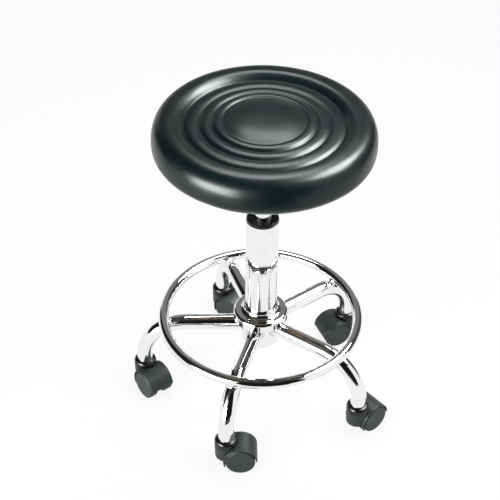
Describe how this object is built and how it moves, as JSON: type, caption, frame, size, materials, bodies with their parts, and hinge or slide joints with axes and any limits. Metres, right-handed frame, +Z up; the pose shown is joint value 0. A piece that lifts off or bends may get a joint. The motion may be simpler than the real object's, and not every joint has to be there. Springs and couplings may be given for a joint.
{
  "type": "rolling gas lift stool",
  "caption": "Round padded stool with a grooved top on a gas lift with a release lever, over a chromed tube base with a foot ring and swivelling twin-wheel casters.",
  "frame": {"origin": "on the floor, under the axis of the column", "axes": "+Z up along the column, -Y towards the viewer of the picture, +X to the viewer's right"},
  "size_m": [0.4118, 0.3961, 0.5258],
  "materials": {
    "seat_vinyl": "satin",
    "foam": "matt",
    "plywood": "raw",
    "black_enamel": "satin",
    "zinc_steel": "zinc plated",
    "chrome_plate": "polished",
    "black_plastic": "fine texture",
    "gloss_black_plastic": "gloss",
    "black_rubber": "matt",
    "hood_nylon": "satin",
    "wheel_nylon": "satin"
  },
  "bodies": {
    "base": {"column_tube": "chrome_plate", "guide_bush": "gloss_black_plastic", "hub": "chrome_plate", "hub_cover": "chrome_plate", "foot_ring": "chrome_plate", "ring_welds": "chrome_plate", "leg_welds": "chrome_plate", "caster_sockets": "gloss_black_plastic", "stem_rings": "zinc_steel", "bearing_lower_washer": "zinc_steel", "thrust_bearing": "zinc_steel", "leg_1": "chrome_plate", "leg_2": "chrome_plate", "leg_3": "chrome_plate", "leg_4": "chrome_plate", "leg_5": "chrome_plate", "caster_stem_1": "zinc_steel", "caster_stem_2": "zinc_steel", "caster_stem_3": "zinc_steel", "caster_stem_4": "zinc_steel", "caster_stem_5": "zinc_steel"},
    "lift_rod": {"piston_rod": "zinc_steel", "piston": "zinc_steel", "bump_stop": "black_rubber", "bearing_top_washer": "zinc_steel", "retaining_clip": "zinc_steel"},
    "seat": {"seat_cover": "seat_vinyl", "seat_foam": "foam", "seat_board": "plywood", "hem_staples": "zinc_steel", "seat_plate": "black_enamel", "taper_socket": "black_enamel", "plate_bolts": "zinc_steel", "tee_nuts": "zinc_steel", "lever_pin": "zinc_steel", "gas_cylinder": "chrome_plate", "cylinder_gland": "black_plastic"},
    "lever": {"lever_rod": "chrome_plate", "lever_grip": "black_plastic"},
    "button": {"release_button": "black_plastic"},
    "caster_1": {"caster_housing_1": "hood_nylon", "caster_axle_1": "zinc_steel"},
    "wheel_left_1": {"wheel_left_1": "wheel_nylon"},
    "wheel_right_1": {"wheel_right_1": "wheel_nylon"},
    "caster_2": {"caster_housing_2": "hood_nylon", "caster_axle_2": "zinc_steel"},
    "wheel_left_2": {"wheel_left_2": "wheel_nylon"},
    "wheel_right_2": {"wheel_right_2": "wheel_nylon"},
    "caster_3": {"caster_housing_3": "hood_nylon", "caster_axle_3": "zinc_steel"},
    "wheel_left_3": {"wheel_left_3": "wheel_nylon"},
    "wheel_right_3": {"wheel_right_3": "wheel_nylon"},
    "caster_4": {"caster_housing_4": "hood_nylon", "caster_axle_4": "zinc_steel"},
    "wheel_left_4": {"wheel_left_4": "wheel_nylon"},
    "wheel_right_4": {"wheel_right_4": "wheel_nylon"},
    "caster_5": {"caster_housing_5": "hood_nylon", "caster_axle_5": "zinc_steel"},
    "wheel_left_5": {"wheel_left_5": "wheel_nylon"},
    "wheel_right_5": {"wheel_right_5": "wheel_nylon"}
  },
  "joints": [
    {"name": "seat_swivel", "type": "hinge", "parent": "base", "child": "lift_rod", "pos_m": [0, 0, 0.1], "axis": [0, 0, 1], "continuous": true},
    {"name": "seat_height", "type": "slide", "parent": "lift_rod", "child": "seat", "axis": [0, 0, 1], "range_m": [-0.066, 0.104]},
    {"name": "lever_tilt", "type": "hinge", "parent": "seat", "child": "lever", "pos_m": [0.0213, 0.01491, 0.458], "axis": [0.5736, -0.8192, 0], "range_deg": [0, 5.5]},
    {"name": "button_press", "type": "slide", "parent": "seat", "child": "button", "axis": [0, 0, -1], "range_m": [0, 0.0025], "stiffness_N_per_m": 400, "springref_m": -0.003},
    {"name": "caster_swivel_1", "type": "hinge", "parent": "base", "child": "caster_1", "pos_m": [0.14533, 0.11768, 0.04], "axis": [0, 0, 1], "continuous": true},
    {"name": "wheel_left_spin_1", "type": "hinge", "parent": "caster_1", "child": "wheel_left_1", "pos_m": [0.12523, 0.10873, 0.023], "axis": [0.4067, -0.9135, 0], "continuous": true},
    {"name": "wheel_right_spin_1", "type": "hinge", "parent": "caster_1", "child": "wheel_right_1", "pos_m": [0.12523, 0.10873, 0.023], "axis": [0.4067, -0.9135, 0], "continuous": true},
    {"name": "caster_swivel_2", "type": "hinge", "parent": "base", "child": "caster_2", "pos_m": [-0.06702, 0.17458, 0.04], "axis": [0, 0, 1], "continuous": true},
    {"name": "wheel_left_spin_2", "type": "hinge", "parent": "caster_2", "child": "wheel_left_2", "pos_m": [-0.04878, 0.16228, 0.023], "axis": [0.5592, 0.829, 0], "continuous": true},
    {"name": "wheel_right_spin_2", "type": "hinge", "parent": "caster_2", "child": "wheel_right_2", "pos_m": [-0.04878, 0.16228, 0.023], "axis": [0.5592, 0.829, 0], "continuous": true},
    {"name": "caster_swivel_3", "type": "hinge", "parent": "base", "child": "caster_3", "pos_m": [-0.18674, -0.00979, 0.04], "axis": [0, 0, 1], "continuous": true},
    {"name": "wheel_left_spin_3", "type": "hinge", "parent": "caster_3", "child": "wheel_left_3", "pos_m": [-0.1729, -0.02688, 0.023], "axis": [0.7771, 0.6293, 0], "continuous": true},
    {"name": "wheel_right_spin_3", "type": "hinge", "parent": "caster_3", "child": "wheel_right_3", "pos_m": [-0.1729, -0.02688, 0.023], "axis": [0.7771, 0.6293, 0], "continuous": true},
    {"name": "caster_swivel_4", "type": "hinge", "parent": "base", "child": "caster_4", "pos_m": [-0.0484, -0.18063, 0.04], "axis": [0, 0, 1], "continuous": true},
    {"name": "wheel_left_spin_4", "type": "hinge", "parent": "caster_4", "child": "wheel_left_4", "pos_m": [-0.02641, -0.17986, 0.023], "axis": [-0.0349, 0.9994, 0], "continuous": true},
    {"name": "wheel_right_spin_4", "type": "hinge", "parent": "caster_4", "child": "wheel_right_4", "pos_m": [-0.02641, -0.17986, 0.023], "axis": [-0.0349, 0.9994, 0], "continuous": true},
    {"name": "caster_swivel_5", "type": "hinge", "parent": "base", "child": "caster_5", "pos_m": [0.15683, -0.10185, 0.04], "axis": [0, 0, 1], "continuous": true},
    {"name": "wheel_left_spin_5", "type": "hinge", "parent": "caster_5", "child": "wheel_left_5", "pos_m": [0.17318, -0.08713, 0.023], "axis": [-0.6691, 0.7431, 0], "continuous": true},
    {"name": "wheel_right_spin_5", "type": "hinge", "parent": "caster_5", "child": "wheel_right_5", "pos_m": [0.17318, -0.08713, 0.023], "axis": [-0.6691, 0.7431, 0], "continuous": true}
  ],
  "couplings": [
    {"joint": "button_press", "follows": "lever_tilt", "m_per_rad": 0.026}
  ]
}
